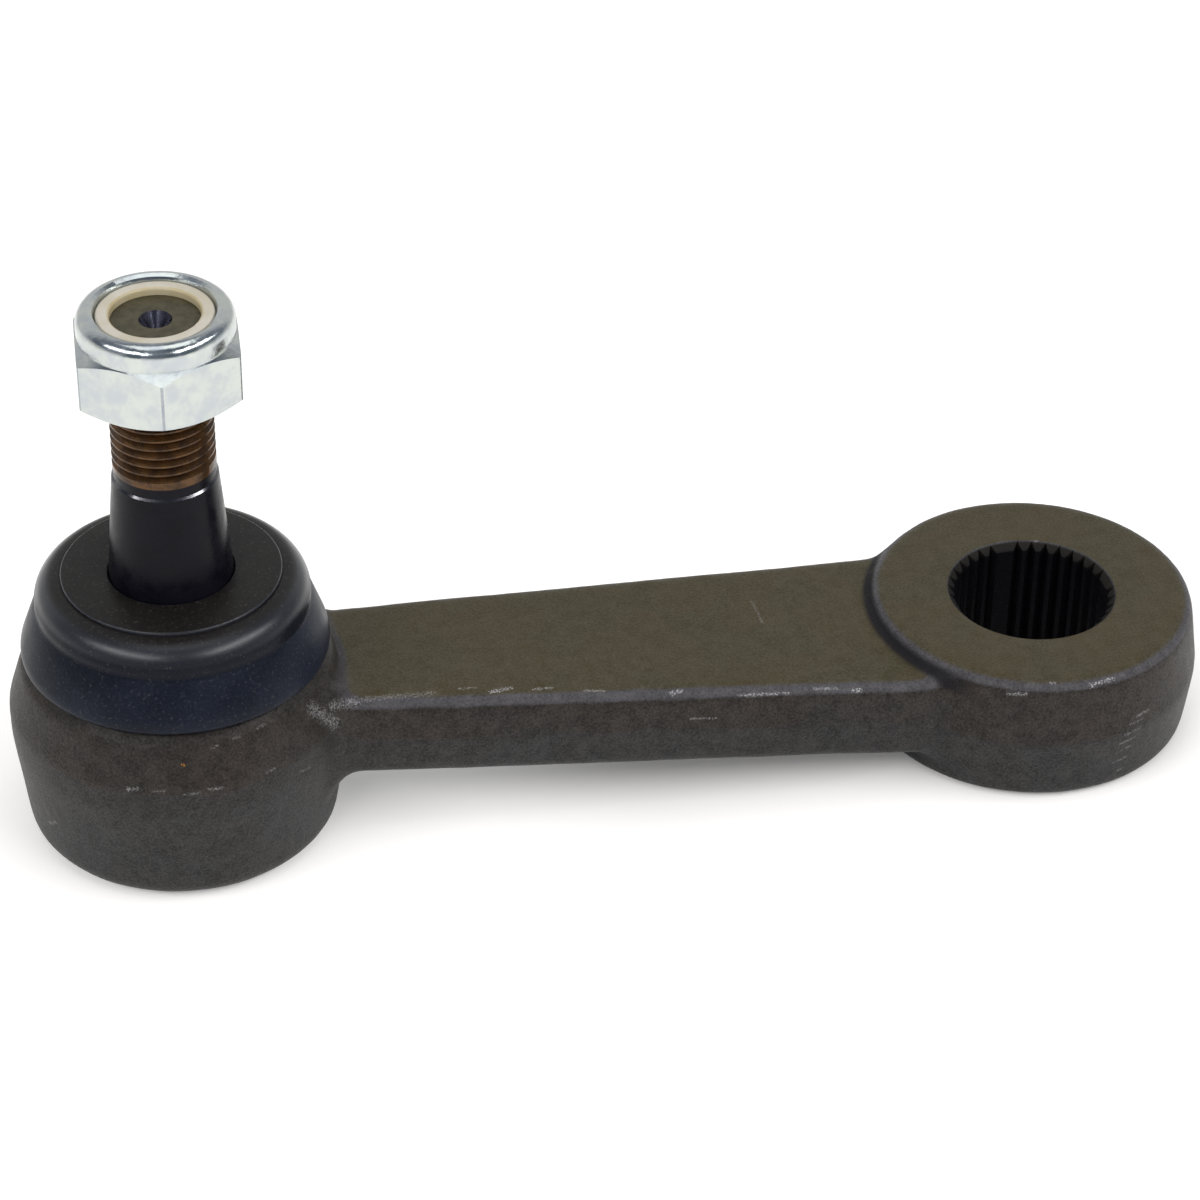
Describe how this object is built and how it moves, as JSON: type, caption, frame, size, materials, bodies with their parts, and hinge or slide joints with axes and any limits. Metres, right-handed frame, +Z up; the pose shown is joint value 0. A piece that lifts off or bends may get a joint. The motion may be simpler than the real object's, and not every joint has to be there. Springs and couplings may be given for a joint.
{
  "type": "pitman arm",
  "caption": "Forged steering lever with a serrated eye for the steering shaft at one end and a booted ball stud with lock nut at the other.",
  "frame": {"origin": "centre of the serrated bore, half way between the eye's two faces", "axes": "+Z up along the serrated bore's axis, towards the stud's side; -X towards the ball joint; the part rests on the eye's and the housing's lower faces"},
  "size_m": [0.1937, 0.0554, 0.0929],
  "materials": {
    "forged_steel": "scaled and oiled olive-black forging, satin",
    "stud_steel": "black oxide, satin, thread oiled brown",
    "bearing_resin": "matt moulded",
    "bearing_steel": "sintered, matt",
    "spring_steel": "oiled",
    "cover_steel": "phosphated, satin",
    "boot_rubber": "moulded, dull sheen",
    "zinc_plate": "bright zinc plate with a pale bluish tint",
    "nylon": "ivory, slightly waxy"
  },
  "bodies": {
    "arm": {"arm_forging": "forged_steel", "lower_bearing": "bearing_steel", "preload_spring": "spring_steel", "end_cover": "cover_steel"},
    "seat": {"upper_bearing": "bearing_resin", "dust_boot": "boot_rubber"},
    "stud": {"ball_stud": "stud_steel"},
    "insert": {"nylon_insert": "nylon"},
    "nut": {"lock_nut": "zinc_plate"}
  },
  "joints": [
    {"name": "stud_turn", "type": "hinge", "parent": "arm", "child": "seat", "pos_m": [-0.1396, 0, 0.00785], "axis": [0, 0, 1], "continuous": true},
    {"name": "stud_rock", "type": "hinge", "parent": "seat", "child": "stud", "pos_m": [-0.1396, 0, 0.00785], "axis": [0, 1, 0], "range_deg": [-20, 20], "deforming": ["dust_boot"]},
    {"name": "nut_travel", "type": "slide", "parent": "stud", "child": "insert", "axis": [0, 0, 1], "range_m": [-0.009, 0.012]},
    {"name": "nut_turn", "type": "hinge", "parent": "insert", "child": "nut", "pos_m": [-0.1396, 0, 0.0749], "axis": [0, 0, 1], "range_deg": [-2160, 2880]}
  ],
  "couplings": [
    {"joint": "nut_travel", "follows": "nut_turn", "m_per_rad": 0.00023873}
  ]
}
